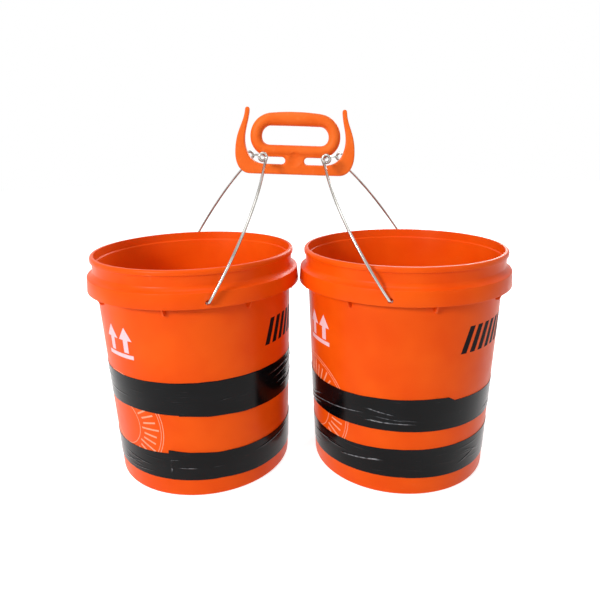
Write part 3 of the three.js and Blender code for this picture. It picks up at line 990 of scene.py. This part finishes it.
def add_plate(bm):
    """Mirrors the outline, gives it its thickness, and rounds its rims."""
    right = plate_outline()
    left = [Vector((-p.x, 0, p.z)) for p in reversed(right[1:-1])]
    face = bm.faces.new([bm.verts.new(p + Vector((0, -PLATE / 2, 0))) for p in right + left])
    grown = bmesh.ops.extrude_face_region(bm, geom=[face])["geom"]
    moved = [v for v in grown if isinstance(v, bmesh.types.BMVert)]
    bmesh.ops.translate(bm, vec=(0, PLATE, 0), verts=moved)
    bmesh.ops.triangulate(bm, faces=[f for f in bm.faces if len(f.verts) > 4])
    # The fingers get thinner towards their tips.
    for v in bm.verts:
        up = min(max((v.co.z - TAPER_FROM) / (TIP - TAPER_FROM), 0), 1)
        v.co.y *= 1 - TAPER_BY * up**1.2
    # A rim edge turns sharply, and both its ends are on the same face of the plate.
    sharp = [e for e in bm.edges if e.calc_face_angle(0) > math.radians(60)]
    rims = [e for e in sharp if e.verts[0].co.y * e.verts[1].co.y > 0]
    bmesh.ops.bevel(
        bm, geom=rims, offset=2.2, offset_type="OFFSET", affect="EDGES", segments=3,
        profile=0.5, material=-1, clamp_overlap=True,
    )


# %% Sweeping an oval ring round a closed line
def ring_matrix(x, z, heading, half_width, half_depth):
    """Puts a unit circle that stands across the line at one station of the line."""
    turn = Matrix.Rotation(-math.radians(heading), 4, "Y")
    return Matrix.Translation((x, 0, z)) @ turn @ Matrix.Diagonal((1, half_depth, half_width, 1))


def sweep(bm, stations):
    """Sweeps an oval; a station is (x, z, heading in degrees, half width, half depth)."""
    upright = Matrix.Rotation(math.pi / 2, 4, "Y")
    first = bmesh.ops.create_circle(
        bm, cap_ends=False, segments=28, radius=1, matrix=ring_matrix(*stations[0]) @ upright
    )["verts"]
    edges = [e for e in bm.edges if e.is_wire]
    for before, after in zip(stations, stations[1:]):
        grown = bmesh.ops.extrude_edge_only(bm, edges=edges)["geom"]
        ring = [g for g in grown if isinstance(g, bmesh.types.BMVert)]
        # Of the new edges, the next ring is the ones that run from new vertex to new vertex.
        edges = [g for g in grown if isinstance(g, bmesh.types.BMEdge)]
        edges = [e for e in edges if all(v in ring for v in e.verts)]
        move = ring_matrix(*after) @ ring_matrix(*before).inverted()
        bmesh.ops.transform(bm, matrix=move, verts=ring)
    bmesh.ops.remove_doubles(bm, verts=first + ring, dist=1e-3)


# %% Grip loop
LOOP_TOP, LOOP_END = 58.4, 57.8
LOWER_BEND, UPPER_BEND = 20.0, 24.0
HALF_WIDTH, HALF_DEPTH, PALM_SWELL, TOP_CROWN = 8.8, 9.8, 1.3, 1.4


def loop_path():
    """Middle line of the loop, anticlockwise from the middle of the lower bar and back to it."""
    path = [Vector((0, 0, LOOP_FOOT)), Vector((18, 0, LOOP_FOOT))]
    path += arc(LOOP_END - LOWER_BEND, LOOP_FOOT + LOWER_BEND, LOWER_BEND, -90, 0, 10)
    path += arc(LOOP_END - UPPER_BEND, LOOP_TOP - UPPER_BEND, UPPER_BEND, 0, 90, 10)
    crown = LOOP_TOP + TOP_CROWN
    path += bezier(
        [(LOOP_END - UPPER_BEND, LOOP_TOP), (20, LOOP_TOP + 1), (10, crown), (0, crown)], 4
    )[1:]
    path += [Vector((-p.x, 0, p.z)) for p in reversed(path[1:])]
    path.append(path[0].copy())
    return path


def add_grip_loop(bm):
    path = loop_path()
    stations = []
    for i, p in enumerate(path):
        behind = path[i - 1] if i else path[-2]
        ahead = path[i + 1] if i + 1 < len(path) else path[1]
        heading = math.degrees(math.atan2(ahead.z - behind.z, ahead.x - behind.x))
        # The top bar is fuller in the middle, to fill the palm.
        fuller = max(0.0, 1 - (p.x / 44) ** 2) if p.z > 40 else 0.0
        stations.append([
            p.x, p.z - 0.6 * fuller, heading, HALF_WIDTH + PALM_SWELL * fuller, HALF_DEPTH,
        ])
    sweep(bm, stations)


# %% Dimples in the web
DIMPLE_RADIUS, DIMPLE_HALF_DEPTH, DIMPLE_OUT = 12, 4.6, 2.6


def web_dimples():
    """Two flat ovals that hollow the web between the slots, in front and behind."""
    bm = bmesh.new()
    flat = Matrix.Diagonal((DIMPLE_RADIUS, DIMPLE_HALF_DEPTH, DIMPLE_RADIUS, 1))
    for end in (-1, 1):
        place = Matrix.Translation((0, end * (PLATE / 2 + DIMPLE_OUT), 0.5)) @ flat
        bmesh.ops.create_uvsphere(bm, u_segments=32, v_segments=16, radius=1, matrix=place)
    return bm


# %% Melt the handle into one skin
VOXEL = 0.9

bm = bmesh.new()
add_plate(bm)
add_grip_loop(bm)
bmesh.ops.recalc_face_normals(bm, faces=bm.faces)
handle = object_from(bm, "carrying_handle", handle_frame)
melt = handle.modifiers.new("melt", "REMESH")
melt.mode, melt.voxel_size = "VOXEL", VOXEL * MM
apply_modifiers(handle)
combine(handle, object_from(web_dimples(), "dimples", handle_frame), "DIFFERENCE")
soften = handle.modifiers.new("soften", "SMOOTH")
soften.factor, soften.iterations = 0.5, 12
apply_modifiers(handle)
finish_piece(handle, handle_plastic, "carrier", ["carrier_handle"])

# %% [markdown]
# ## Camera
# The camera stands in front of the pails at a person's reach, a little above the rims, and looks
# slightly down, so that both mouths show as narrow ovals. A tracking constraint could aim it, but
# three turns written out say exactly where it looks and how far it is rolled.

# %% Camera
CAMERA_PLACE = Vector((15.3, -833.0, 510.0)) * MM
CAMERA_TURN = math.radians(0.98)
CAMERA_DOWN = math.radians(16.65)
CAMERA_ROLL = math.radians(-0.95)
camera_data = bpy.data.cameras.new("camera")
camera_data.sensor_width, camera_data.lens = 36.0, 32.84
camera = bpy.data.objects.new("camera", camera_data)
camera.matrix_world = (
    Matrix.Translation(CAMERA_PLACE)
    @ Matrix.Rotation(CAMERA_TURN, 4, "Z")
    @ Matrix.Rotation(math.pi / 2 - CAMERA_DOWN, 4, "X")
    @ Matrix.Rotation(CAMERA_ROLL, 4, "Z")
)
bpy.context.scene.collection.objects.link(camera)
bpy.context.scene.camera = camera
print("camera", round(CAMERA_PLACE.length, 2), "m from the middle of the floor")

# %% [markdown]
# ## Floor, background and light
# The floor and the background are white to the camera and in reflections. More light would also
# make them white, but it would bleach the object. So they glow only for the rays that see them,
# and the light that falls on the object stays plain and soft: an even dim surround, a key lamp at
# the front left, a wide lamp above, a weak fill at the right, and a wide lamp behind that lights
# the far edges and the insides of the pails.

# %% Floor
def seen_white(tree):
    """1 for the rays that should meet white: the camera's, and mirror and glass rays."""
    path = add_node(tree, "LightPath").outputs
    clear = {0: path["Is Glossy Ray"], 1: path["Is Transmission Ray"]}
    clear = add_node(tree, "Math", clear, operation="MAXIMUM")
    return add_node(tree, "Math", {0: path["Is Camera Ray"], 1: clear}, operation="MAXIMUM")


FLOOR_GLOW, FLOOR_RADIUS, FLOOR_DROP = 0.72, 6000, 0.3
floor_paint, tree, shader, position = new_material("matt_white_floor", Roughness=0.9)
shader.inputs["Base Color"].default_value = colour("#E9E9E9")
shader.inputs["Emission Color"].default_value = (1, 1, 1, 1)
glow = add_node(tree, "Math", {0: seen_white(tree), 1: FLOOR_GLOW}, operation="MULTIPLY")
tree.links.new(glow.outputs[0], shader.inputs["Emission Strength"])
bm = bmesh.new()
bmesh.ops.create_circle(bm, cap_ends=True, segments=96, radius=FLOOR_RADIUS)
bmesh.ops.translate(bm, vec=(0, 0, -FLOOR_DROP), verts=bm.verts)
floor = object_from(bm, "floor")
floor.data.materials.append(floor_paint)
print("floor", 2 * FLOOR_RADIUS / 1000, "m across")

# %% World
SURROUND, WHITE = 0.3, 1.0
world = bpy.data.worlds.new("surround")
bpy.context.scene.world = world
world.use_nodes = True
tree = world.node_tree
tree.nodes.clear()
strength = add_node(
    tree, "MapRange", {"Value": seen_white(tree), "To Min": SURROUND, "To Max": WHITE}
)
backdrop = add_node(tree, "Background", {"Color": (1, 1, 1, 1), "Strength": strength})
add_node(tree, "OutputWorld", {"Surface": backdrop})
print("world strength", SURROUND, "and", WHITE, "where it is seen")

# %% Lamps
MIDDLE = Vector((0, 0, 0.25))


def soft_lamp(name, place, size, watts):
    """A square lamp in metres and watts, aimed at the middle of the object."""
    data = bpy.data.lights.new(name, "AREA")
    data.shape, data.size, data.energy = "SQUARE", size, watts
    lamp = bpy.data.objects.new(name, data)
    aim = (MIDDLE - Vector(place)).to_track_quat("-Z", "Y")
    lamp.matrix_world = Matrix.Translation(place) @ aim.to_matrix().to_4x4()
    bpy.context.scene.collection.objects.link(lamp)
    print(name, "lamp", watts, "W")


soft_lamp("key", (-1.6, -1.9, 1.45), 0.6, 47)
soft_lamp("top", (-0.2, -0.5, 2.2), 1.2, 13)
soft_lamp("fill", (1.9, -1.2, 1.0), 1.0, 3)
soft_lamp("back", (0.9, 2.3, 1.5), 1.2, 34)
bpy.context.scene.view_settings.view_transform = "Standard"
